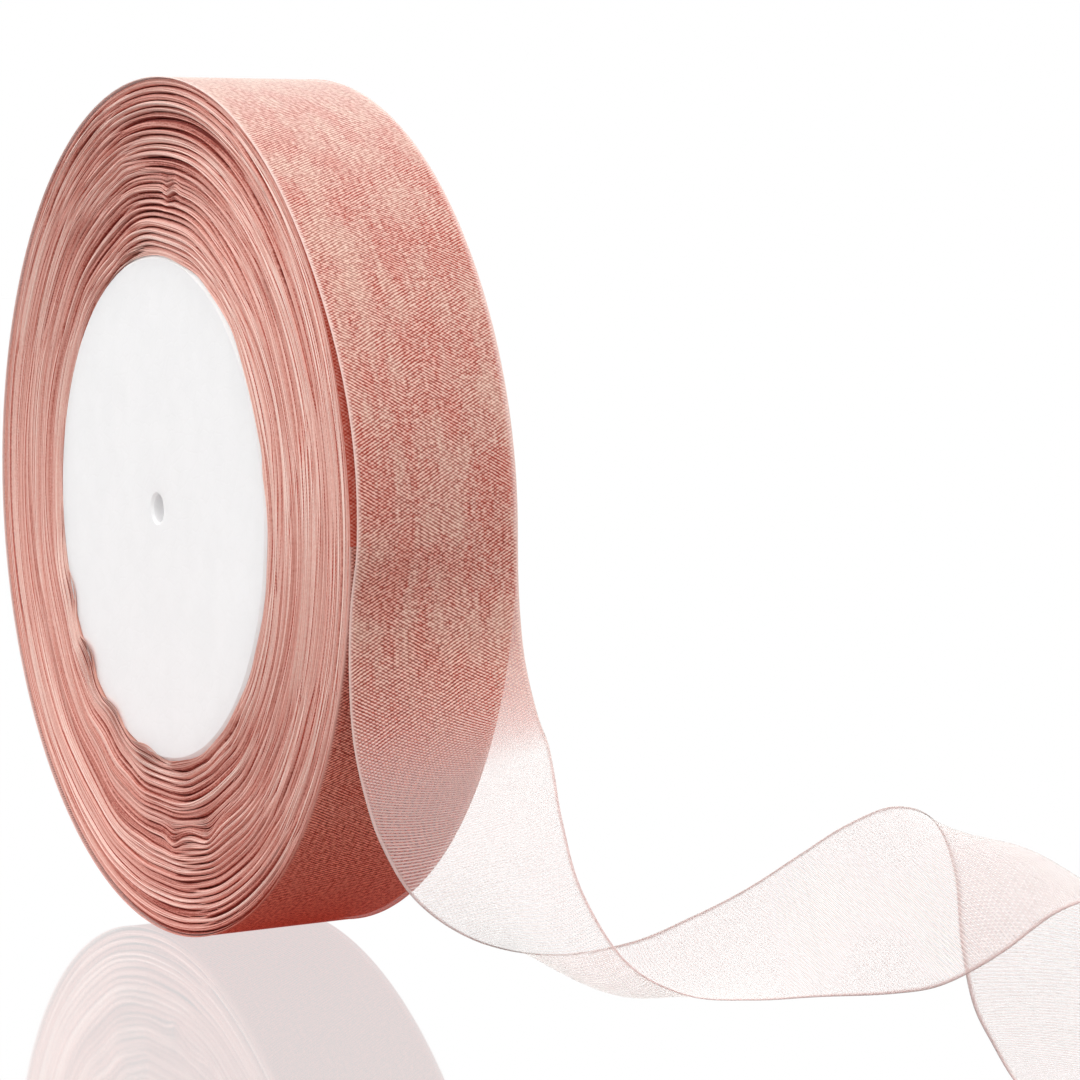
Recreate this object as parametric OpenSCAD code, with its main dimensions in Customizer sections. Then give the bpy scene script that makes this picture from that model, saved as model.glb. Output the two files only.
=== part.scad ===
// Spool of sheer organza ribbon: a foam core, the wound ribbon and a drawn-off tail.
// The spool stands on its rim. The origin is the middle of the spindle hole, the
// hole runs along Y, Z is up, and the ribbon is drawn off on the +X side.
// Lengths are in millimetres.

/* [Ribbon] */
// Width of the ribbon, selvedge to selvedge
ribbon_w = 25; // [12:1:40]
// Thickness that the loose ribbon is given
ribbon_t = 0.3; // [0.2:0.05:0.6]

/* [Core] */
// Diameter of the foam core
core_d = 74; // [60:1:80]
// Diameter of the spindle hole
bore_d = 4; // [4:0.5:20]
// Chamfer on the rims of the core
core_chamfer = 0.6; // [0.2:0.1:2]
// Chamfer on the mouths of the spindle hole
bore_chamfer = 0.4; // [0.2:0.1:1]

/* [Winding] */
// Diameter over the wound ribbon, without its last turn
roll_d = 124; // [110:1:160]
// Depth of the ridges that the wound selvedges make on each side
ridge_depth = 0.6; // [0.2:0.1:1.2]
// Clearance between the roll and the last turn
turn_gap = 0.3; // [0.3:0.1:0.6]

/* [Starter tape] */
// Length of the tape that holds the ribbon's inner end
tape_l = 30; // [15:1:60]
// Width of that tape
tape_w = 19; // [10:1:24]
// Thickness of that tape
tape_t = 0.1; // [0.05:0.05:0.2]

/* [Hidden] */
$fn = 96;

core_r = core_d / 2;
bore_r = bore_d / 2;
roll_r = roll_d / 2;
half_w = ribbon_w / 2;
wind_depth = roll_r - core_r;

// The wound ribbon in groups of turns: where each group ends, as a share of the
// winding's depth, and how many ridges its side shows.
first_end = 0.1;
crimped_end = 0.32;
middle_end = 0.6;
outer_end = 0.86;
function wind_r(share) = core_r + share * wind_depth;

// Colours
foam_white = [0.96, 0.95, 0.95];
tape_clear = [0.86, 0.84, 0.78];
rose_gold = [0.80, 0.50, 0.44];
rose_deep = [0.70, 0.38, 0.33];
rose_light = [0.90, 0.64, 0.57];
blush = [0.98, 0.87, 0.84];

// ---------- Core ----------

module foam_core() {
    color(foam_white)
    rotate([90, 0, 0])
    rotate_extrude()
        polygon([
            [bore_r + bore_chamfer, -half_w],
            [core_r - core_chamfer, -half_w],
            [core_r, -half_w + core_chamfer],
            [core_r, half_w - core_chamfer],
            [core_r - core_chamfer, half_w],
            [bore_r + bore_chamfer, half_w],
            [bore_r, half_w - bore_chamfer],
            [bore_r, -half_w + bore_chamfer]
        ]);
}

// The tape lies on the core and reaches up over the start of the ribbon.
module tape_shape() {
    tape_angle = tape_l / core_r * 180 / PI;
    rotate([90, 0, 0])
    rotate(90 - tape_angle / 2)
    rotate_extrude(angle = tape_angle)
        translate([core_r, -tape_w / 2])
            square([tape_t, tape_w]);
}

module starter_tape() {
    color(tape_clear) tape_shape();
}

// ---------- Wound ribbon ----------

// Side of a group of turns, from radius a to radius b: one ridge for each clump of
// selvedges, highest in its middle. side is 1 or -1.
function ridge_line(a, b, count, side) = [
    for (i = [0 : 2 * count])
        let (
            r = a + (b - a) * i / (2 * count),
            high = i % 2 == 1
        )
        [r, side * (half_w - (high ? 0 : ridge_depth))]
];

function reversed(points) = [for (i = [len(points) - 1 : -1 : 0]) points[i]];

module turns(a, b, count) {
    rotate([90, 0, 0])
    rotate_extrude()
        polygon(concat(
            ridge_line(a, b, count, -1),
            reversed(ridge_line(a, b, count, 1))
        ));
}

module first_turns() {
    color(rose_deep)
    difference() {
        turns(core_r, wind_r(first_end), 2);
        tape_shape();
    }
}

module crimped_turns() {
    color(rose_gold) turns(wind_r(first_end), wind_r(crimped_end), 5);
}

module middle_turns() {
    color(rose_deep) turns(wind_r(crimped_end), wind_r(middle_end), 6);
}

module outer_turns() {
    color(rose_gold) turns(wind_r(middle_end), wind_r(outer_end), 6);
}

module smooth_turns() {
    color(rose_light) turns(wind_r(outer_end), roll_r, 5);
}

// ---------- Drawn ribbon ----------

// The last turn lies loose around the roll, which turns inside it.
module last_turn() {
    color(rose_light)
    rotate([90, 0, 0])
    rotate_extrude()
        translate([roll_r + turn_gap, -half_w])
            square([ribbon_t, ribbon_w]);
}

// Route of the drawn-off tail, as pairs of points: the ribbon's front edge and its rear
// edge, a ribbon's width apart. The tail drops from the roll, curls over in an arch, and
// its end runs out over the table.
floor_z = -(roll_r + turn_gap + ribbon_t);
lying_z = floor_z + ribbon_t / 2;
TAIL = [
    [[62.5, -12.5, -8], [63, 12.5, -8]],
    [[62, -12.5, -16.5], [64.5, 12.5, -16]],
    [[63, -12.5, -25], [69.5, 11.5, -22.5]],
    [[67, -13, -31.5], [76.5, 9, -25]],
    [[73, -13.5, -37.5], [84.5, 5, -25.5]],
    [[79, -11.5, -44], [92.5, 1, -27]],
    [[83, -5, -49], [99.5, -2, -31]],
    [[86.5, 4, -51], [106, -3, -38.5]],
    [[91, 13, -49.5], [111.5, 0, -46.5]],
    [[95.5, 19.5, -46], [115.5, 6, -50.5]],
    [[100.5, 24.5, -42], [120, 12.5, -51]],
    [[106, 29, -37], [124.5, 19.5, -50.5]],
    [[111, 32.2, -32.9], [128.5, 27, -50.2]],
    [[115.4, 36.4, -30.2], [132, 32, -49]],
    [[117, 41.2, -32], [136.5, 37, -45]],
    [[116, 45.4, -39], [139, 44, -40]],
    [[117.5, 45.5, -48], [139.5, 51.5, -39]],
    [[121.5, 44.5, -55], [139.5, 57, -42.5]],
    [[125.8, 44.6, -59.6], [143, 60, -49.6]],
    [[131, 43.5, -62.2], [148, 60.5, -56.4]],
    [[137.5, 41, lying_z], [154.5, 59, -61.2]],
    [[144.5, 37.5, lying_z], [161.5, 56, lying_z]],
    [[151, 33, lying_z], [168, 51.5, lying_z]],
    [[156.5, 27.5, lying_z], [174, 45.5, lying_z]]
];
// Where one stretch of the tail ends and the next begins, as places in TAIL
sweep_start = 6;
curl_start = 11;
end_start = 18;
// Gap across the fold line, as a share of the step between two pairs
fold_gap = 0.05;
rings_per_step = 2;

// Point between p[1] and p[2] on a smooth curve through all four points
function smooth_point(p, f) =
    0.5 * (
        2 * p[1] + (p[2] - p[0]) * f
        + (2 * p[0] - 5 * p[1] + 4 * p[2] - p[3]) * f * f
        + (3 * p[1] - p[0] - 3 * p[2] + p[3]) * f * f * f
    );

// Route pair number i, where the route goes straight on past both its ends
function tail_pair(i) =
    i < 0 ? 2 * TAIL[0] - TAIL[1]
    : i >= len(TAIL) ? 2 * TAIL[len(TAIL) - 1] - TAIL[len(TAIL) - 2]
    : TAIL[i];

// Both edges of the tail at place u, a number from 0 to len(TAIL) - 1
function tail_edges(u) =
    let (
        i = min(floor(u), len(TAIL) - 2),
        near = [for (k = [-1 : 2]) tail_pair(i + k)]
    )
    [for (side = [0, 1]) smooth_point([for (pair = near) pair[side]], u - i)];

function unit(v) = v / norm(v);

// The four corners of the tail's section at place u
function tail_section(u) =
    let (
        edges = tail_edges(u),
        last = len(TAIL) - 1,
        ahead = tail_edges(min(u + 0.1, last)),
        behind = tail_edges(max(u - 0.1, 0)),
        along = (ahead[0] + ahead[1]) - (behind[0] + behind[1]),
        up = unit(cross(edges[1] - edges[0], along)) * ribbon_t / 2
    )
    [edges[0] - up, edges[1] - up, edges[1] + up, edges[0] + up];

// The stretch of the tail from place a to place b, as one thin solid
module tail_strip(a, b) {
    count = ceil((b - a) * rings_per_step);
    sections = [for (i = [0 : count]) tail_section(a + (b - a) * i / count)];
    points = [for (section = sections) for (corner = section) corner];
    // Both faces are cut along the same diagonal, from the front edge to the rear edge
    sides = [
        for (i = [0 : count - 1])
            for (k = [0 : 3])
                let (p = 4 * i + k, q = 4 * i + (k + 1) % 4)
                each (k == 2)
                    ? [[p, q, p + 4], [q, q + 4, p + 4]]
                    : [[p, q, q + 4], [p, q + 4, p + 4]]
    ];
    first = [[0, 3, 2], [0, 2, 1]];
    e = 4 * count;
    last = [[e, e + 1, e + 2], [e, e + 2, e + 3]];
    polyhedron(points, concat(sides, first, last));
}

module tail_drop() {
    color(blush) tail_strip(0, sweep_start);
}

module tail_sweep() {
    color(blush) tail_strip(sweep_start, curl_start);
}

module tail_curl() {
    color(blush) tail_strip(curl_start + fold_gap, end_start);
}

module tail_end() {
    color(blush) tail_strip(end_start, len(TAIL) - 1);
}

foam_core();
starter_tape();
first_turns();
crimped_turns();
middle_turns();
outer_turns();
smooth_turns();
last_turn();
tail_drop();
tail_sweep();
tail_curl();
tail_end();
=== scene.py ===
"""A spool of sheer rose gold organza ribbon, standing on its rim with its tail drawn off.

Lengths are in metres unless a name ends in _mm. The roll's axis runs along Y through the
origin, its front side faces -Y, and the ribbon leaves the roll on the +X side.
"""

import math

import bpy
import numpy as np
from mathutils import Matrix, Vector


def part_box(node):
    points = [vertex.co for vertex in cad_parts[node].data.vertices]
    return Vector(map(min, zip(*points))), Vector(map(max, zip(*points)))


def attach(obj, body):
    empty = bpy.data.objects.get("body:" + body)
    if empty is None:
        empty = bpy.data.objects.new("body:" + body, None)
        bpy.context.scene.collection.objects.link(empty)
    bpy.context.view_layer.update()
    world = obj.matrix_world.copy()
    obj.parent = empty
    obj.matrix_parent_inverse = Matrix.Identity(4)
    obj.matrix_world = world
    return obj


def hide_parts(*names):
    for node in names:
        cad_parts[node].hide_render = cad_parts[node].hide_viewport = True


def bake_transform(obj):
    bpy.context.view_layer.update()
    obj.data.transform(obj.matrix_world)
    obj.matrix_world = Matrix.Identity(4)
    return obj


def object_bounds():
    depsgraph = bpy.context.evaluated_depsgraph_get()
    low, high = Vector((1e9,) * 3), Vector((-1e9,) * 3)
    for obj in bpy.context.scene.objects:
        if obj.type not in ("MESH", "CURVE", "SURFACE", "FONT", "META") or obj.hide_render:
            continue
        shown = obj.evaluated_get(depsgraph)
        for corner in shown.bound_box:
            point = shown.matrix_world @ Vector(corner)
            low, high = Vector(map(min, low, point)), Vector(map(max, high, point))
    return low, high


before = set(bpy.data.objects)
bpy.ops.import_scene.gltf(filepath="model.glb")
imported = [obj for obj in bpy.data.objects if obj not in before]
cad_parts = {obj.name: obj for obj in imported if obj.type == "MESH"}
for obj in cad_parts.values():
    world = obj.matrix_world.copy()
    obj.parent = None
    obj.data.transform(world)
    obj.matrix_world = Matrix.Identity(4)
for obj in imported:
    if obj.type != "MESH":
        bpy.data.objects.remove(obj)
cad_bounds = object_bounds()

MM = 0.001
TAU = 2 * math.pi

# ---------- Sizes, from the frame ----------

GROUPS = ["first_turns", "crimped_turns", "middle_turns", "outer_turns", "smooth_turns"]


def ring_radius(node):
    """Outer radius of a CAD ring around the Y axis."""
    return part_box(node)[1].x


CORE_R = ring_radius("foam_core")
CORE_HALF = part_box("foam_core")[1].y
RIBBON_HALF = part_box("last_turn")[1].y
GROUP_R = [ring_radius(node) for node in GROUPS]
ROLL_R = GROUP_R[-1]
FLOOR_Z = cad_bounds[0].z

# ---------- Mesh helpers ----------


def new_object(name, points, faces, attributes=None, materials=(), face_slots=None):
    """A smooth-shaded mesh object from arrays, with float attributes per point."""
    mesh = bpy.data.meshes.new(name)
    mesh.from_pydata([tuple(p) for p in points], [], faces)
    for key, values in (attributes or {}).items():
        attribute = mesh.attributes.new(key, "FLOAT", "POINT")
        attribute.data.foreach_set("value", np.asarray(values, np.float32).ravel())
    mesh.polygons.foreach_set("use_smooth", [True] * len(mesh.polygons))
    for item in materials:
        mesh.materials.append(item)
    if face_slots is not None:
        mesh.polygons.foreach_set("material_index", face_slots)
    mesh.update()
    piece = bpy.data.objects.new(name, mesh)
    bpy.context.scene.collection.objects.link(piece)
    return piece


def swept(name, sections, attributes, materials, side_slots, sharp=()):
    """A closed solid from sections: stations by points around by 3.

    side_slots gives each side of the section its material, and the long edges whose number
    is in sharp keep their crease.
    """
    stations, around = sections.shape[:2]
    start = np.arange(stations - 1)[:, None] * around
    here = np.arange(around)
    following = (here + 1) % around
    corners = (start + here, start + around + here, start + around + following, start + following)
    quads = np.stack(corners, -1).reshape(-1, 4)
    last = (stations - 1) * around
    faces = quads.tolist() + [list(range(around)), list(range(last, last + around))[::-1]]
    slots = np.tile(side_slots, stations - 1).tolist() + [side_slots[0]] * 2
    points = sections.reshape(-1, 3)
    piece = new_object(name, points, faces, attributes, materials, slots)
    mesh = piece.data
    ends = np.empty(len(mesh.edges) * 2, np.int32)
    mesh.edges.foreach_get("vertices", ends)
    low, high = np.sort(ends.reshape(-1, 2), 1).T
    crease = (high - low == around) & np.isin(low % around, sharp)
    crease |= (high < around) | (low >= last)
    mesh.edges.foreach_set("use_edge_sharp", crease)
    return piece


# ---------- Material helper ----------


class Graph:
    """One node material, with short calls for the nodes it uses most."""

    def __init__(self, name):
        self.material = bpy.data.materials.new(name)
        self.material.use_nodes = True
        self.tree = self.material.node_tree
        self.shader = self.tree.nodes["Principled BSDF"]

    def put(self, socket, value):
        if isinstance(value, bpy.types.NodeSocket):
            self.tree.links.new(value, socket)
        else:
            socket.default_value = value

    def node(self, kind, inputs=None, output=0, **settings):
        made = self.tree.nodes.new("ShaderNode" + kind)
        for key, value in settings.items():
            setattr(made, key, value)
        for key, value in (inputs or {}).items():
            self.put(made.inputs[key], value)
        return made.outputs[output]

    def math(self, operation, *values, clamp=False):
        return self.node("Math", dict(enumerate(values)), operation=operation, use_clamp=clamp)

    def attribute(self, name):
        return self.node("Attribute", output="Fac", attribute_name=name)

    def ramp(self, value, stops):
        """stops is a list of (position, colour or grey)."""
        made = self.tree.nodes.new("ShaderNodeValToRGB")
        self.put(made.inputs[0], value)
        points = made.color_ramp.elements
        while len(points) < len(stops):
            points.new(0.5)
        for point, (position, colour) in zip(points, stops):
            point.position = position
            grey = isinstance(colour, (int, float))
            point.color = (colour, colour, colour, 1) if grey else (*colour, 1)
        return made.outputs[0]

    def mix(self, share, first, second, blend="MIX"):
        made = self.tree.nodes.new("ShaderNodeMix")
        made.data_type = "RGBA"
        made.blend_type = blend
        for key, value in zip((0, 6, 7), (share, first, second)):
            if isinstance(value, tuple) and len(value) == 3:
                value = (*value, 1)
            self.put(made.inputs[key], value)
        return made.outputs[2]

    def bump(self, height, distance, strength=1.0, normal=None):
        inputs = {"Height": height, "Distance": distance, "Strength": strength}
        if normal is not None:
            inputs["Normal"] = normal
        return self.node("Bump", inputs)

    def vector(self, x=0.0, y=0.0, z=0.0):
        return self.node("CombineXYZ", {0: x, 1: y, 2: z})

    def noise(self, vector, scale, detail=2.0, roughness=0.5, output="Fac"):
        inputs = {"Vector": vector, "Scale": scale, "Detail": detail, "Roughness": roughness}
        return self.node("TexNoise", inputs, output)

    def set(self, **values):
        for key, value in values.items():
            self.put(self.shader.inputs[key.replace("_", " ")], value)


# ---------- Materials ----------

# The selvedge ramp runs from painted shade, deep red in the grooves, to a paler painted highlight
# on selvedges that stand proud.
DEEP_RED = (0.20, 0.024, 0.017)
DARK_ROSE = (0.40, 0.095, 0.068)
ROSE = (0.72, 0.335, 0.275)
PEACH = (0.87, 0.54, 0.465)
PALE = (0.94, 0.70, 0.62)
PACK_GAP = (0.42, 0.045, 0.026)
PACK_THREAD = (0.66, 0.14, 0.09)
# Paler colour where the innermost turns lap over the core's rim: painted light through the sheer
# cloth.
LAPPED_LIGHT = (0.80, 0.45, 0.37)
WOUND_GAP = (0.42, 0.030, 0.012)
WOUND_THREAD = (0.79, 0.52, 0.44)
# Colours of the painted shade where the last turn nears the table: its gaps and its threads.
SHADE_GAP = (0.44, 0.034, 0.018)
SHADE_THREAD = (0.93, 0.31, 0.22)
LOOSE_GAP = (0.80, 0.56, 0.52)
LOOSE_THREAD = (0.93, 0.74, 0.70)
TAN = (0.80, 0.61, 0.49)
STREAK_RED = (0.60, 0.17, 0.12)
WOUND_SELVEDGE = (0.87, 0.62, 0.56)
LOOSE_SELVEDGE = (0.46, 0.31, 0.295)
# Colour of the painted shade on the last turn's selvedge near the table.
SHADE_SELVEDGE = (0.66, 0.25, 0.19)
WEFT_PITCH_MM = 0.47
FLOAT_PITCH_MM = 0.86
PACK_PITCHES_MM = (0.50, 0.80)
# How opaque the cloth is in its gaps and on its threads, held on the roll and hanging loose.
HELD_ALPHA = (0.56, 0.88)
LOOSE_ALPHA = (0.08, 0.36)


def weave(graph, run, across, seed, free=0.0, pitches_mm=(WEFT_PITCH_MM, FLOAT_PITCH_MM)):
    """Staggered specks of thread, from 0 in the gaps to 1, as stacked sheer layers show them.

    Two sets of slanting rows cross; where one outweighs the other the rows show. Where the
    ribbon hangs free it is one layer, and the rows of its own threads run evenly.
    """
    place = graph.vector(run, across, seed)
    unrest = graph.math("MULTIPLY_ADD", free, -4.3, 4.6)
    shift_1 = graph.math("MULTIPLY", graph.noise(place, 420.0, 3.0), unrest)
    shift_2 = graph.math("MULTIPLY", graph.noise(place, 510.0, 3.0), unrest)
    weft_pitch_mm, float_pitch_mm = pitches_mm
    u = graph.math("MULTIPLY", run, 1000 * TAU / weft_pitch_mm)
    v = graph.math("MULTIPLY", across, 1000 * TAU / float_pitch_mm)
    rising = graph.math("SINE", graph.math("ADD", graph.math("ADD", u, v), shift_1))
    falling = graph.math("SINE", graph.math("ADD", graph.math("SUBTRACT", u, v), shift_2))
    share = graph.ramp(graph.noise(place, 160.0), [(0.35, 0.24), (0.65, 0.76)])
    share = graph.math("MAXIMUM", share, graph.math("POWER", free, 3.0))
    both = graph.mix(share, rising, falling)
    fleck = graph.math("SUBTRACT", graph.noise(place, 1700.0, 0.0), 0.5)
    fleck_size = graph.math("MULTIPLY_ADD", free, -0.70, 0.75)
    rows = graph.math("MULTIPLY_ADD", both, 0.45, 0.5)
    return graph.math("MULTIPLY_ADD", fleck, fleck_size, rows)


def selvedge_material():
    """The cut side of the wound turns: beaded selvedges, with painted shade, deep red, where they
    sink in a groove and a paler painted highlight where they stand proud.
    """
    graph = Graph("wound_selvedges")
    proud = graph.attribute("proud")
    shade = graph.attribute("shade")
    run = graph.attribute("run")
    beads = graph.noise(graph.vector(graph.math("MULTIPLY", run, 1900.0), shade), 1.0)
    slow = graph.noise(graph.vector(graph.math("MULTIPLY", run, 70.0), shade), 1.0)
    tone = graph.attribute("tone")
    lift = graph.math("MULTIPLY_ADD", graph.math("SUBTRACT", beads, 0.5), 0.50, proud)
    lift = graph.math("MULTIPLY_ADD", graph.math("SUBTRACT", slow, 0.5), 0.35, lift)
    lift = graph.math("MULTIPLY_ADD", shade, 0.04, lift)
    lift = graph.math("MULTIPLY_ADD", tone, 0.13, lift)
    # Low values are painted shade where the selvedge sinks in a groove, high ones a painted
    # highlight where it stands proud.
    stops = [(0.03, DEEP_RED), (0.17, DARK_ROSE), (0.36, ROSE), (0.74, PEACH), (1.0, PALE)]
    graph.set(Base_Color=graph.ramp(lift, stops), Roughness=0.65)
    graph.shader.inputs["Specular IOR Level"].default_value = 0.25
    return graph.material


def pack_cloth_material():
    """The wide face of the wound turns: deep rose, as many sheer layers show together."""
    graph = Graph("wound_cloth")
    run, across = graph.attribute("run"), graph.attribute("across")
    speck = weave(graph, run, across, 3.0, pitches_mm=PACK_PITCHES_MM)
    colour = graph.ramp(speck, [(0.1, PACK_GAP), (0.55, PACK_THREAD), (1.0, ROSE)])
    # Painted light: paler where the innermost turns lap over the white core's rim.
    colour = graph.mix(graph.attribute("lapping_light"), colour, LAPPED_LIGHT)
    graph.set(Base_Color=colour, Roughness=0.6, Normal=graph.bump(speck, 0.04 * MM, 0.6))
    graph.shader.inputs["Specular IOR Level"].default_value = 0.3
    return graph.material


def organza_material(name, sheen, specular):
    """Sheer organza: threads with gaps between, deeper in colour where it lies on the roll, with
    painted shade, deep red and without streaks, where the last turn nears the table.
    """
    graph = Graph(name)
    run, across, edge, free = (graph.attribute(k) for k in ("run", "across", "edge", "free"))
    speck = weave(graph, run, across, 9.0, free)
    sharp = graph.ramp(speck, [(0.28, 0.0), (0.78, 1.0)])
    sharp = graph.mix(graph.math("POWER", free, 3.0), sharp, speck)
    # Painted shade where the last turn nears the table: its gaps, threads and selvedge turn deep
    # red and the streaks fade out.
    painted_shade = graph.attribute("painted_shade")
    held_unshaded = graph.math("SUBTRACT", 1.0, graph.math("MAXIMUM", free, painted_shade))
    paler = graph.math("POWER", free, 2.0)
    late = graph.math("POWER", free, 6.0)
    gap = graph.mix(late, graph.mix(painted_shade, WOUND_GAP, SHADE_GAP), LOOSE_GAP)
    thread = graph.mix(paler, graph.mix(painted_shade, WOUND_THREAD, SHADE_THREAD), LOOSE_THREAD)
    stretched = graph.vector(graph.math("MULTIPLY", run, 0.22), across, 5.0)
    patch = graph.noise(graph.vector(run, across, 7.0), 110.0, 3.0)
    streak = graph.mix(0.5, graph.noise(stretched, 420.0, 4.0, 0.6), patch)
    tan_share = graph.math("MULTIPLY", graph.ramp(streak, [(0.45, 0.0), (0.62, 0.34)]), held_unshaded)
    red_share = graph.math("MULTIPLY", graph.ramp(streak, [(0.38, 0.26), (0.51, 0.0)]), held_unshaded)
    body = graph.mix(red_share, graph.mix(sharp, gap, thread), STREAK_RED)
    body = graph.mix(tan_share, body, TAN)
    low, high = HELD_ALPHA
    loose_low, loose_high = LOOSE_ALPHA
    alpha_low = graph.math("MULTIPLY_ADD", free, loose_low - low, low)
    alpha_high = graph.math("MULTIPLY_ADD", paler, loose_high - high, high)
    alpha_range = graph.math("SUBTRACT", alpha_high, alpha_low)
    woven = graph.math("MULTIPLY_ADD", sharp, alpha_range, alpha_low)
    alpha = graph.math("MAXIMUM", woven, graph.math("MULTIPLY", edge, 0.9), clamp=True)
    held_rim_with_shade = graph.mix(painted_shade, WOUND_SELVEDGE, SHADE_SELVEDGE)
    rim = graph.mix(graph.math("POWER", free, 1.5), held_rim_with_shade, LOOSE_SELVEDGE)
    graph.set(Base_Color=graph.mix(edge, body, rim), Roughness=0.5, Alpha=alpha)
    graph.set(Normal=graph.bump(speck, 0.04 * MM, 0.45))
    graph.shader.inputs["Specular IOR Level"].default_value = specular
    graph.shader.inputs["Sheen Weight"].default_value = sheen
    graph.set(Subsurface_Weight=graph.math("POWER", free, 3.0))
    graph.shader.inputs["Subsurface Radius"].default_value = (1.0, 1.0, 1.0)
    graph.shader.inputs["Subsurface Scale"].default_value = 1.0 * MM
    graph.shader.inputs["Sheen Roughness"].default_value = 0.42
    graph.shader.inputs["Sheen Tint"].default_value = (0.92, 0.92, 0.85, 1)
    return graph.material


def foam_material():
    """White expanded foam: packed beads with soft seams between them."""
    graph = Graph("white_foam")
    place = graph.node("TexCoord", output="Object")
    cell = graph.node(
        "TexVoronoi", {"Vector": place, "Scale": 420.0}, "Distance", feature="DISTANCE_TO_EDGE"
    )
    seam = graph.math("MULTIPLY", cell, 9.0, clamp=True)
    grain = graph.noise(place, 2600.0)
    tone = graph.math("MULTIPLY_ADD", grain, 0.3, seam, clamp=True)
    cloud = graph.noise(place, 150.0, 3.0)
    fair = graph.ramp(cloud, [(0.38, (0.965, 0.957, 0.965)), (0.62, (1.0, 0.99, 0.998))])
    seam_share = graph.ramp(tone, [(0.0, 0.4), (0.5, 0.0)])
    colour = graph.mix(seam_share, fair, (0.93, 0.92, 0.925))
    normal = graph.bump(tone, 0.05 * MM, 0.25)
    graph.set(Base_Color=colour, Roughness=0.6, Normal=normal)
    graph.shader.inputs["Subsurface Weight"].default_value = 0.5
    graph.shader.inputs["Subsurface Radius"].default_value = (1.0, 1.0, 1.0)
    graph.shader.inputs["Subsurface Scale"].default_value = 6 * MM
    return graph.material


def tape_material():
    """Clear adhesive tape with a faint grain along its length."""
    graph = Graph("clear_tape")
    place = graph.node("TexCoord", output="Object")
    stretched = graph.node("VectorMath", {0: place, 1: (900.0, 90.0, 900.0)}, operation="MULTIPLY")
    grain = graph.noise(stretched, 1.0)
    colour = graph.ramp(grain, [(0.3, (0.86, 0.84, 0.76)), (0.7, (0.94, 0.93, 0.88))])
    graph.set(Base_Color=colour, Roughness=0.2, Alpha=0.55, Normal=graph.bump(grain, 0.02 * MM))
    return graph.material


# ---------- Wound ribbon ----------

TURNS = 146
STATIONS_PER_TURN = 360
CLOTH_T = 0.13 * MM
TAPE_T = 0.1 * MM
WINDING_START = CORE_R + TAPE_T
PITCH = (ROLL_R - WINDING_START) / TURNS
SEED = 11
SCALLOP_SEED = 45
SMOOTH_FROM = 118
# The innermost turns reach out past the core's face and lean in over it: by how much, from
# how far inside that face, over what length, and after how many turns the lean fades.
LEAN = 1.7 * MM
LEAN_START = 1.3 * MM
LEAN_LENGTH = 2.2 * MM
LEAN_TURNS = 9.0


def smooth_step(x):
    x = np.clip(x, 0, 1)
    return x * x * (3 - 2 * x)


def bump_at(angle, centre_deg, width_deg):
    """A soft bump over angle: 1 at the centre, fading over the width on both sides."""
    away = np.angle(np.exp(1j * (angle - math.radians(centre_deg))))
    return np.exp(-((away / math.radians(width_deg)) ** 2))


class RingNoise:
    """Smooth noise over angle and radius that closes on itself around the roll."""

    def __init__(self, rng, waves, low, high, radial_mm):
        self.count = rng.integers(low, high + 1, waves)
        self.phase = rng.uniform(0, TAU, waves)
        self.drift = rng.normal(0, 1, waves) / (radial_mm * MM)
        self.size = rng.uniform(0.5, 1, waves) / math.sqrt(waves)

    def __call__(self, angle, radius):
        total = np.zeros_like(angle)
        for m, p, d, s in zip(self.count, self.phase, self.drift, self.size):
            total += s * np.sin(m * angle + p + d * radius)
        return total


class Bundles:
    """Neighbouring turns clump into rounded ridges with thin grooves between them."""

    def __init__(self, rng, wander, low, high, smooth_low, smooth_high):
        starts = [-4.0]
        while starts[-1] < TURNS + 12:
            span = (smooth_low, smooth_high) if starts[-1] > SMOOTH_FROM else (low, high)
            starts.append(starts[-1] + rng.uniform(*span))
        self.starts = np.array(starts)
        self.heights = rng.uniform(0.55, 1.0, len(starts))
        self.tones = rng.normal(0, 1, len(starts))
        self.wander = wander

    def __call__(self, turn, angle, radius):
        """(crown's height, from 0 to 1; share through the bundle; size in turns; tone)."""
        place = turn + 1.3 * self.wander(angle, radius)
        index = np.clip(np.searchsorted(self.starts, place) - 1, 0, len(self.starts) - 2)
        size = self.starts[index + 1] - self.starts[index]
        share = (place - self.starts[index]) / size
        crown = 1 - np.abs(2 * share - 1) ** 3
        tone = self.tones[index] * np.where(self.starts[index] > SMOOTH_FROM, 2.0, 1.0)
        return crown * self.heights[index], share, size, tone


# Sharp puckers in the turns: degrees, radius and depth in mm, width in degrees.
KINKS = (
    (85.5, 46.4, -0.55, 1.5),
    (82.0, 47.0, 0.45, 1.6),
    (-86.0, 48.4, 0.85, 2.6),
    (-78.5, 47.6, -0.35, 3.6),
    (-70.5, 47.8, 0.85, 4.2),
    (-99.0, 51.0, -0.35, 4.0),
    (104.0, 50.5, 0.35, 3.0),
)
# Broad places where the turns sit deep or proud: degrees, width, radius, reach and height in mm.
TERRACES = (
    (74, 34, 56.6, 1.3, -0.5),
    (80, 45, 59.4, 0.8, 0.35),
    (206, 34, 51.3, 1.1, -1.05),
    (230, 32, 55.5, 3.0, 0.35),
    (120, 30, 44.0, 1.2, -0.35),
)


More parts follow.
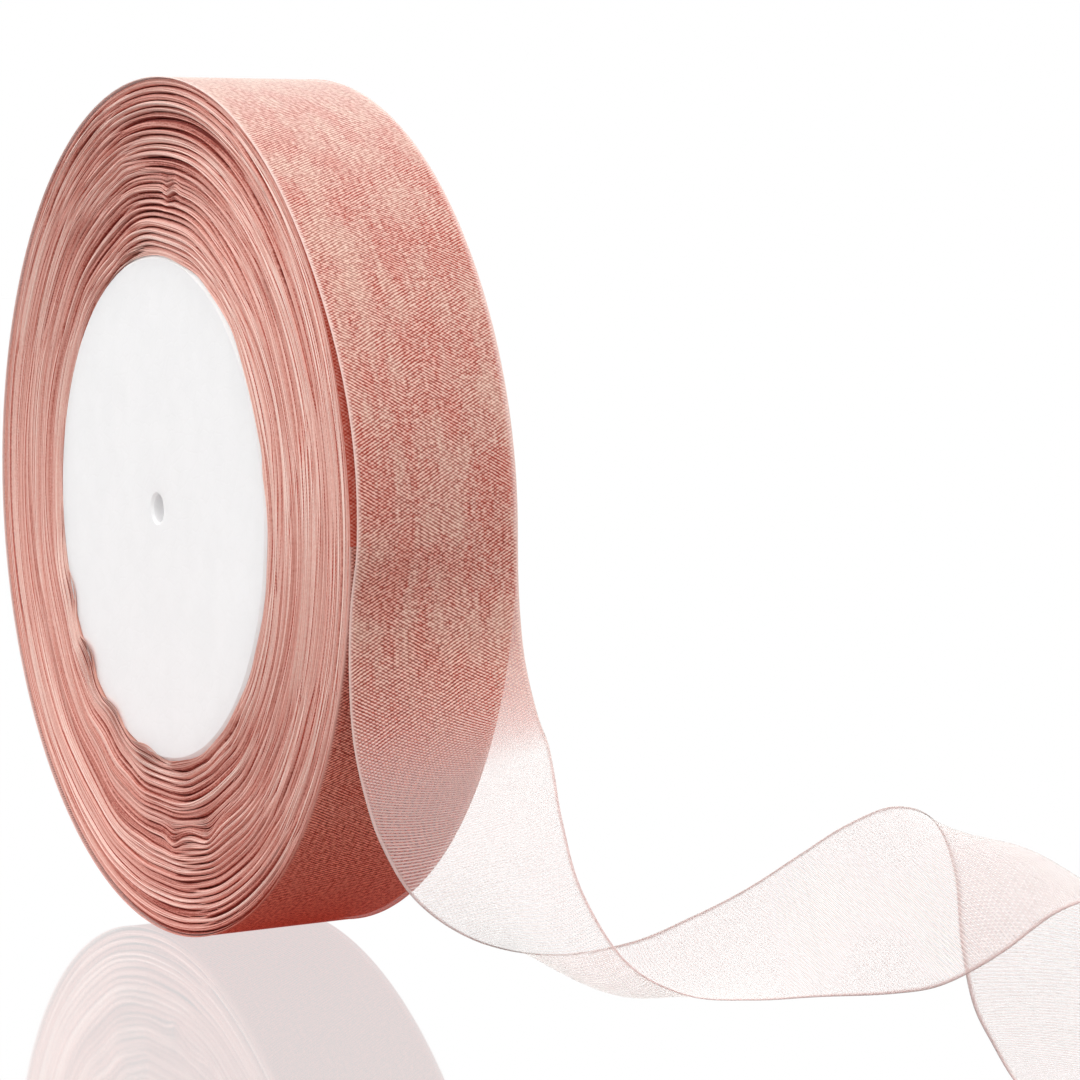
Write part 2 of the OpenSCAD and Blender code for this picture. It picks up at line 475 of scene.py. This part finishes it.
class Winding:
    """Where the ribbon lies at each turn number and angle."""

    def __init__(self):
        rng = np.random.default_rng(SEED)
        self.wander = RingNoise(rng, 6, 1, 4, 30)
        self.bundles = [Bundles(rng, self.wander, 4.2, 9.0, 5.0, 7.0) for _ in range(3)]
        self.strands = Bundles(rng, self.wander, 1.5, 3.0, 1.6, 3.0)
        self.swap = RingNoise(rng, 8, 2, 6, 6)
        self.long_waves = RingNoise(rng, 10, 6, 12, 9)
        self.short_waves = RingNoise(rng, 14, 14, 28, 6)
        self.scallops = RingNoise(np.random.default_rng(SCALLOP_SEED), 12, 11, 22, 40)
        self.lift = RingNoise(rng, 10, 2, 8, 1.8)
        self.thread = rng.normal(0, 1, TURNS + 12)

    def base(self, turn):
        return WINDING_START + PITCH * (turn + 0.5)

    def ridges(self, turn, angle, side):
        """Crown, radial squeeze and tone of the bundle that a turn belongs to."""
        radius = self.base(turn)
        swap = smooth_step(0.5 + 1.8 * self.swap(angle, radius))
        sets = (0, 1) if side < 0 else (0, 2)
        found = [self.bundles[i](turn, angle, radius) for i in sets]
        total = np.zeros((3, len(turn)))
        for weight, (crown, share, size, tone) in zip((1 - swap, swap), found):
            total += weight * np.array([crown, -0.16 * (share - 0.5) * size, tone])
        return total

    def radius(self, turn, angle):
        base = self.base(turn)
        depth = (base - CORE_R) / (ROLL_R - CORE_R)
        _, squeeze, _ = self.ridges(turn, angle, -1)
        slack = np.clip(1.15 - depth, 0, 1) ** 1.3
        where = 0.14 + bump_at(angle, -105, 42) + 0.5 * bump_at(angle, 105, 34)
        waves = 0.55 * self.long_waves(angle, base) + 0.20 * self.short_waves(angle, base)
        offset = waves * slack * where
        for at_deg, at_mm, height, width_deg in KINKS:
            reach = np.exp(-(((base / MM - at_mm) / 1.8) ** 2))
            offset = offset + height * bump_at(angle, at_deg, width_deg) * reach
        inner_free = smooth_step((base - WINDING_START) / (1.6 * MM))
        outer_free = smooth_step((ROLL_R - base) / (5 * MM))
        ends_free = smooth_step(np.minimum(turn, TURNS - turn) / 2)
        return base + squeeze * PITCH * ends_free + MM * offset * inner_free * outer_free

    def edge(self, turn, angle, side):
        """Y of the selvedge on one side, -1 or 1; how proud it stands, from 0 to 1, with painted
        light and shade added to it; its tone.
        """
        base = self.base(turn)
        crown, _, tone = self.ridges(turn, angle, side)
        strand, _, _, _ = self.strands(turn, angle, base)
        depth = (base - CORE_R) / (ROLL_R - CORE_R)
        thread = self.thread[np.clip(turn, 0, TURNS).astype(int)]
        calm = 1 - 0.35 * bump_at(angle, 186, 46)
        crown = 0.62 + (crown - 0.62) * calm
        strand = 0.55 + (strand - 0.55) * calm
        out = -1.02 + 0.90 * crown + 0.26 * strand + 0.015 * thread
        out += 0.22 * self.lift(angle, base) * np.clip(1.3 - depth, 0, 1)
        # The cos term is painted light: paler at the face's left and right, where the ridge flanks
        # catch the light, and darker at its top and bottom.
        proud = 0.66 * crown + 0.34 * strand + 0.085 * np.cos(2 * angle)
        if side < 0:
            for at_deg, width_deg, at_mm, reach_mm, height in TERRACES:
                here = bump_at(angle, at_deg, width_deg)
                here = here * np.exp(-(((base / MM - at_mm) / reach_mm) ** 2))
                out = out + height * here
                # Painted shade and highlight: a terrace that sits deep is darker, one that stands
                # proud is paler.
                proud = proud + 0.5 * height * here
            over = self.over_core(turn, angle)
            out = out + 0.75 * over
            # Painted light: the turns that lean over the core are made paler against the shade on
            # their folds.
            proud = proud + 0.35 * over
        return side * (RIBBON_HALF + np.clip(out, -2.1, 0.55) * MM), np.clip(proud, 0, 1), tone

    @staticmethod
    def over_core(turn, angle):
        """Share, from 0 to 1, by which the innermost turns reach out over the core's face."""
        where = bump_at(angle, -142, 46)
        where = where + 0.30 * bump_at(angle, -88, 22) + 0.30 * bump_at(angle, 95, 40)
        return np.exp(-turn / LEAN_TURNS) * (0.18 + 0.82 * np.clip(where, 0, 1))

    def lean(self, turn, angle, y):
        """How far a point of the front selvedge leans in towards the axis, in metres."""
        past = smooth_step((-y - (CORE_HALF - LEAN_START)) / LEAN_LENGTH)
        fold = 1.1 + 0.75 * self.scallops(angle, self.base(turn))
        return LEAN * np.clip(fold, 0.5, 2.0) * self.over_core(turn, angle) * past


winding = Winding()

# Across each turn: side of the ribbon, and how far in from that selvedge, in mm.
PLAIN_RAILS = ((-1, 0), (1, 0))
GROUP_RAILS = {
    "first_turns": ((-1, 0), (-1, 0.45), (-1, 1.0), (-1, 1.8), (-1, 3.2), (1, 0)),
    "crimped_turns": ((-1, 0), (-1, 0.8), (-1, 2.2), (1, 0)),
}


def wound_group(name, first, last, rails, materials):
    """The turns from number first to number last, as one continuous strip of cloth."""
    count = int(round((last - first) * STATIONS_PER_TURN)) + 1
    turn = np.linspace(first, last, count)
    angle = -TAU * turn
    radius = winding.radius(turn, angle)
    rings = []
    proud = []
    tones = []
    around = [(1, *rail) for rail in rails] + [(-1, *rail) for rail in rails[::-1]]
    for level, side, inset_mm in around:
        y, stands, tone = winding.edge(turn + 0.4 * level, angle, side)
        y = y - side * inset_mm * MM
        r = radius + level * CLOTH_T / 2 - winding.lean(turn, angle, y)
        rings.append(np.stack([r * np.cos(angle), y, r * np.sin(angle)], -1))
        proud.append(stands)
        tones.append(tone)
    sections = np.stack(rings, 1)
    n = len(rails)
    number = winding.thread[np.clip(turn, 0, TURNS).astype(int)]
    length = np.concatenate([[0], np.cumsum(TAU / STATIONS_PER_TURN * radius[1:])])
    attributes = {
        "proud": np.stack(proud, 1),
        "tone": np.stack(tones, 1),
        "shade": np.repeat(number[:, None], 2 * n, 1),
        "run": np.repeat(length[:, None], 2 * n, 1),
        "across": sections[:, :, 1],
        "lapping_light": lapping_light(turn[:, None], sections[:, :, 1]),
    }
    slots = [1] * (n - 1) + [0] + [1] * (n - 1) + [0]
    piece = swept(name, sections, attributes, materials, slots, sharp=[0, n - 1, n, 2 * n - 1])
    return piece, length[-1]


def lapping_light(turn, y):
    """Share, from 0 to 1, of the paler look where the innermost turns lap over the core's rim:
    painted light, standing in for light through the sheer cloth over the white core.
    """
    return smooth_step((-y - (CORE_HALF - 1.5 * MM)) / (1.0 * MM)) * np.exp(-turn / 4.0)


def turn_at(radius):
    return np.clip((radius - WINDING_START) / PITCH, 0, TURNS)


def make_wound_ribbon():
    materials = [selvedge_material(), pack_cloth_material()]
    first = 0.0
    under = "foam_core"
    for node, outer_r in zip(GROUPS, GROUP_R):
        last = turn_at(outer_r)
        rails = GROUP_RAILS.get(node, PLAIN_RAILS)
        piece, length = wound_group("wound_" + node, first, last, rails, materials)
        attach(piece, "roll")
        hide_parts(node)
        first, under = last, piece.name


# ---------- Last turn and tail ----------

SHEER_T = 0.07 * MM
SELVEDGE_T = 0.24 * MM
SELVEDGE_W = 0.75 * MM
ACROSS_MM = (0, 0.12, 0.35, 0.55, 0.8, 1.6, 2.8, 4.2, 5.8, 7.5, 9.2, 10.9)
PEEL_DEG = 0.0
# SHADED_SHARE is the share of the last turn, from its start down to the table, that takes the
# shaded copy of the organza, without sheen.
SHADED_SHARE = 0.25
TAIL_BODY_SPLIT = 11
FADE_START = 7 * MM
FADE_LENGTH = 31 * MM

ROUTE_MM = (
    ((62.5, -12.5, -8), (63, 12.5, -8)),
    ((62, -12.5, -16.5), (64.5, 12.5, -16)),
    ((63, -12.5, -25), (69.5, 11.5, -22.5)),
    ((67, -13, -31.5), (76.5, 9, -25)),
    ((73, -13.5, -37.5), (84.5, 5, -25.5)),
    ((79, -11.5, -44), (92.5, 1, -27)),
    ((83, -5, -49), (99.5, -2, -31)),
    ((86.5, 4, -51), (106, -3, -38.5)),
    ((91, 13, -49.5), (111.5, 0, -46.5)),
    ((95.5, 19.5, -46), (115.5, 6, -50.5)),
    ((100.5, 24.5, -42), (120, 12.5, -51)),
    ((106, 29, -37), (124.5, 19.5, -50.5)),
    ((111, 32.2, -32.9), (128.5, 27, -50.2)),
    ((115.4, 36.4, -30.2), (132, 32, -49)),
    ((117, 41.2, -32), (136.5, 37, -45)),
    ((116, 45.4, -39), (139, 44, -40)),
    ((117.5, 45.5, -48), (139.5, 51.5, -39)),
    ((121.5, 44.5, -55), (139.5, 57, -42.5)),
    ((125.8, 44.6, -59.6), (143, 60, -49.6)),
    ((131, 43.5, -62.2), (148, 60.5, -56.4)),
    ((137.5, 41, -62.45), (154.5, 59, -61.2)),
    ((144.5, 37.5, -62.45), (161.5, 56, -62.45)),
    ((151, 33, -62.45), (168, 51.5, -62.45)),
    ((156.5, 27.5, -62.45), (174, 45.5, -62.45)),
)

DROP_NODES = ("tail_drop", "tail_sweep")
CURL_NODES = ("tail_curl", "tail_end")
# Where the cloth starts and stops bending as its joint turns; make_tail reads these but doesn't
# bend the cloth.
DROP_BEND_MM = ((62.7, 0, -3), (80, -5, -30))
CURL_BEND_MM = ((115.25, 24.25, -43.75), (126, 40, -38))
# How far the middle of the ribbon's width bows up off the straight line, from place 5 in ROUTE_MM.
BOW_START = 5
BOW_MM = (1.2, 3.0, 5.2, 5.6, 3.8, 1.8, 0.5, -0.6, -2.2, -4.4, -5.8, -6.6, -5.0, -2.8, -1.0)


def across_shares():
    """Shares of the ribbon's width where its section has a point, from front to rear."""
    width_mm = 2 * RIBBON_HALF / MM
    near = np.array(ACROSS_MM) / width_mm
    return np.concatenate([near, [0.5], 1 - near[::-1]])


def surface_normal(grid):
    """Unit normals of a grid of points: along the ribbon by across it."""
    normal = np.cross(np.gradient(grid, axis=0), np.gradient(grid, axis=1))
    return normal / np.linalg.norm(normal, axis=2, keepdims=True)


def cloth_strip(name, front, rear, material, run_start=0.0, peel_run=math.inf, painted_shade=None, bow=None):
    """A closed thin strip between two selvedges, each an array of points along the ribbon.

    It is thin in the middle and has a rounded, thicker selvedge on both sides. The middle
    of its width stands off the straight line between the selvedges by bow.
    """
    share = across_shares()
    grid = front[:, None, :] * (1 - share[:, None]) + rear[:, None, :] * share[:, None]
    if bow is not None:
        middle = surface_normal(grid)[:, len(share) // 2][:, None, :]
        arch = 4 * share * (1 - share)
        grid = grid + middle * arch[:, None] * bow[:, None, None]
    normal = surface_normal(grid)
    from_edge = np.minimum(share, 1 - share) * 2 * RIBBON_HALF
    edge = 1 - smooth_step(from_edge / SELVEDGE_W)
    rim = np.sqrt(np.clip(from_edge / (0.3 * SELVEDGE_W), 0, 1))
    half = (SHEER_T + (SELVEDGE_T - SHEER_T) * edge) * rim / 2
    half = half[:, None]
    upper = grid + normal * half
    lower = (grid - normal * half)[:, 1:-1][:, ::-1]
    sections = np.concatenate([upper, lower], 1)
    step = np.linalg.norm(np.diff(grid[:, len(share) // 2], axis=0), axis=1)
    run = run_start + np.concatenate([[0], np.cumsum(step)])
    around = sections.shape[1]
    share_around = np.concatenate([share, share[1:-1][::-1]])
    edge_around = np.concatenate([edge, edge[1:-1][::-1]])
    attributes = {
        "run": np.repeat(run[:, None], around, 1),
        "across": np.repeat(share_around[None] * 2 * RIBBON_HALF, len(run), 0),
        "edge": np.repeat(edge_around[None], len(run), 0),
        "free": np.repeat(smooth_step((run - peel_run) / FADE_LENGTH)[:, None], around, 1),
    }
    # Painted shade along the strip, none unless given.
    painted_shade = np.zeros(len(run)) if painted_shade is None else painted_shade
    attributes["painted_shade"] = np.repeat(painted_shade[:, None], around, 1)
    return swept(name, sections, attributes, [material], [0] * around), run


def catmull_rom(points, per_step, first, last):
    """Points on a smooth curve through the given ones, from index first to index last."""
    points = np.asarray(points, float)
    if points.ndim == 1:
        return catmull_rom(points[:, None], per_step, first, last)[:, 0]
    found = []
    for i in range(first, last):
        p0, p1, p2, p3 = (points[np.clip(i + k, 0, len(points) - 1)] for k in (-1, 0, 1, 2))
        for t in np.arange(per_step) / per_step:
            found.append(
                0.5
                * (
                    2 * p1
                    + (p2 - p0) * t
                    + (2 * p0 - 5 * p1 + 4 * p2 - p3) * t**2
                    + (3 * p1 - p0 - 3 * p2 + p3) * t**3
                )
            )
    found.append(points[last])
    return np.array(found)


def last_turn_rails(step_deg=0.75):
    """Both selvedges of the last turn, all the way round clockwise to where it peels away.

    It lies on the roll and swells off it just before the ribbon leaves.
    """
    angle = np.radians(np.linspace(360, PEEL_DEG, int(round(360 / step_deg)) + 1))
    turned = (angle[0] - angle) / TAU
    rails = []
    for side, swell_mm, centre, width in ((-1, 2.6, 10, 21), (1, 0.4, 9, 19)):
        lift = 0.29 + 0.05 * smooth_step(turned * 8)
        lift = lift + swell_mm * bump_at(angle, centre, width) * smooth_step(turned * 4 - 1)
        r = ROLL_R + lift * MM
        y = np.full_like(angle, side * RIBBON_HALF)
        rails.append(np.stack([r * np.cos(angle), y, r * np.sin(angle)], -1))
    return rails


def make_last_turn(material, shaded_material):
    """The last turn: its first quarter, down to the table, takes the shaded copy of the organza
    without sheen, and painted shade darkens it deep red near the table.
    """
    front, rear = last_turn_rails()
    angle = np.arctan2(front[:, 2], front[:, 0])
    turned = np.linspace(0, 1, len(angle))
    # Painted shade, darkest at -62 degrees by the table and gone before four tenths of the turn.
    painted_shade = bump_at(angle, -62, 60) * (1 - smooth_step((turned - 0.4) * 10))
    piece, run = cloth_strip("last_turn_cloth", front, rear, material, painted_shade=painted_shade)
    mesh = piece.data
    mesh.materials.append(shaded_material)
    quads_per_station = (len(mesh.polygons) - 2) // (len(run) - 1)
    slots = np.zeros(len(mesh.polygons), np.int32)
    slots[: int(SHADED_SHARE * (len(run) - 1)) * quads_per_station] = 1
    mesh.polygons.foreach_set("material_index", slots)
    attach(piece, "drawn_ribbon")
    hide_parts("last_turn")
    return front[-1], rear[-1], run[-1]


def make_tail(material, front_start, rear_start, run_start):
    peel_run = run_start + FADE_START
    rails = []
    for side, start in ((0, front_start), (1, rear_start)):
        points = np.array([pair[side] for pair in ROUTE_MM]) * MM
        ahead = start + np.array([0.0, 0.0, 8.0]) * MM
        rails.append(np.vstack([ahead, start, points]))
    bows = np.zeros(len(ROUTE_MM) + 2)
    bows[BOW_START + 2 :][: len(BOW_MM)] = np.array(BOW_MM) * MM
    split = TAIL_BODY_SPLIT + 2
    end = len(ROUTE_MM) + 1
    for name, first, last, nodes, bodies, bend_mm in (
        ("tail_cloth", 1, split, DROP_NODES, ("drawn_ribbon", "tail"), DROP_BEND_MM),
        ("tail_curl_cloth", split, end, CURL_NODES, ("tail", "loose_end"), CURL_BEND_MM),
    ):
        front, rear, bow = (catmull_rom(rail, 14, first, last) for rail in (*rails, bows))
        piece, run = cloth_strip(name, front, rear, material, run_start, peel_run, bow=bow)
        run_start = run[-1]
        start, stop = (tuple(v * MM for v in place) for place in bend_mm)
        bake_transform(piece)
        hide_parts(*nodes)


# ---------- Core and tape ----------


def dress_core():
    for node, make in (("foam_core", foam_material), ("starter_tape", tape_material)):
        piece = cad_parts[node]
        piece.data.materials.clear()
        piece.data.materials.append(make())


# ---------- Studio ----------

CAMERA_AZIMUTH = math.radians(60.18)
CAMERA_ELEVATION = math.radians(5.86)
CAMERA_OFFSET = (44.95 * MM, -5.22 * MM, 505 * MM)
CAMERA_LENS_MM = 114.1
STUDIO_R = 3.0
SKY_STRENGTH = 1.56
# Colour and reach of the floor's painted rosy glow round the spool.
ROSY_LIGHT = (0.50, 0.085, 0.05)
ROSY_REACH = 0.075


def make_camera():
    azimuth, elevation = CAMERA_AZIMUTH, CAMERA_ELEVATION
    right = Vector((math.cos(azimuth), math.sin(azimuth), 0))
    back = Vector(
        (
            math.sin(azimuth) * math.cos(elevation),
            -math.cos(azimuth) * math.cos(elevation),
            math.sin(elevation),
        )
    )
    up = back.cross(right)
    data = bpy.data.cameras.new("camera")
    data.lens = CAMERA_LENS_MM
    data.clip_start, data.clip_end = 0.01, 20
    camera = bpy.data.objects.new("camera", data)
    camera.location = sum((axis * v for axis, v in zip((right, up, back), CAMERA_OFFSET)), Vector())
    camera.rotation_mode = "QUATERNION"
    camera.rotation_quaternion = back.to_track_quat("Z", "Y")
    bpy.context.scene.collection.objects.link(camera)
    bpy.context.scene.camera = camera


def floor_material():
    """White studio floor: bright and faintly glossy to the eye, and dim as a light from below.

    Round the spool it glows with a painted rosy light, an emission standing in for the light the
    ribbon throws down on it.
    """
    graph = Graph("studio_floor")
    tree = graph.tree
    place = graph.node("TexCoord", output="Object")
    glow = graph.node("Emission", {"Color": (1, 1, 1, 1), "Strength": 1.0})
    gloss = graph.node("BsdfGlossy", {"Color": (1, 1, 1, 1), "Roughness": 0.04})
    seen = graph.node("MixShader", {0: 0.34, 1: glow, 2: gloss})
    grain = graph.noise(place, 40.0)
    dim = graph.node("BsdfDiffuse", {"Color": graph.ramp(grain, [(0.3, 0.20), (0.7, 0.23)])})
    away = graph.node("VectorMath", {0: place}, "Value", operation="LENGTH")
    near = graph.ramp(graph.math("MULTIPLY", away, 1 / ROSY_REACH), [(0.0, 1.0), (1.0, 0.0)])
    # Painted rosy glow: the floor emits it round the spool, fading out at ROSY_REACH.
    rosy = graph.node("Emission", {"Color": (*ROSY_LIGHT, 1), "Strength": near})
    below = graph.node("AddShader", {0: dim, 1: rosy})
    camera_ray = graph.node("LightPath", output="Is Camera Ray")
    both = graph.node("MixShader", {0: camera_ray, 1: below, 2: seen})
    tree.links.new(both, tree.nodes["Material Output"].inputs["Surface"])
    tree.nodes.remove(graph.shader)
    return graph.material


def make_floor():
    turns = np.arange(64) * TAU / 64
    ring = [(STUDIO_R * math.cos(a), STUDIO_R * math.sin(a), 0) for a in turns]
    floor = new_object("studio_floor", ring, [list(range(64))], materials=[floor_material()])
    floor.location.z = FLOOR_Z


def make_world():
    """White all round to the eye, and a brighter soft sky for the light itself."""
    world = bpy.data.worlds.new("studio")
    world.use_nodes = True
    tree = world.node_tree
    background = tree.nodes["Background"]
    background.inputs["Color"].default_value = (1, 1, 1, 1)
    path = tree.nodes.new("ShaderNodeLightPath")
    strength = tree.nodes.new("ShaderNodeMapRange")
    tree.links.new(path.outputs["Is Diffuse Ray"], strength.inputs["Value"])
    strength.inputs["To Min"].default_value = 1.0
    strength.inputs["To Max"].default_value = SKY_STRENGTH
    tree.links.new(strength.outputs["Result"], background.inputs["Strength"])
    bpy.context.scene.world = world
    bpy.context.scene.view_settings.view_transform = "Standard"


def add_light(name, location, target, size, power, colour=(1, 1, 1)):
    data = bpy.data.lights.new(name, "AREA")
    data.shape = "RECTANGLE"
    data.size, data.size_y = size
    data.energy = power
    data.color = colour
    lamp = bpy.data.objects.new(name, data)
    lamp.location = location
    lamp.rotation_mode = "QUATERNION"
    aim = Vector(location) - Vector(target)
    lamp.rotation_quaternion = aim.to_track_quat("Z", "Y")
    bpy.context.scene.collection.objects.link(lamp)


def make_lights():
    add_light("top_softbox", (-0.25, 0.28, 0.62), (0, 0, 0.03), (0.6, 0.6), 1.3)


# ---------- Build ----------

make_camera()
make_world()
make_lights()
make_floor()
dress_core()
make_wound_ribbon()
organza = organza_material("organza", sheen=0.75, specular=0.2)
# A shaded copy of the organza, without sheen and with less gloss, for the last turn's painted shade
# near the table.
shaded_organza = organza_material("shaded_organza", sheen=0.0, specular=0.05)
front_end, rear_end, wound_length = make_last_turn(organza, shaded_organza)
make_tail(organza, front_end, rear_end, wound_length)
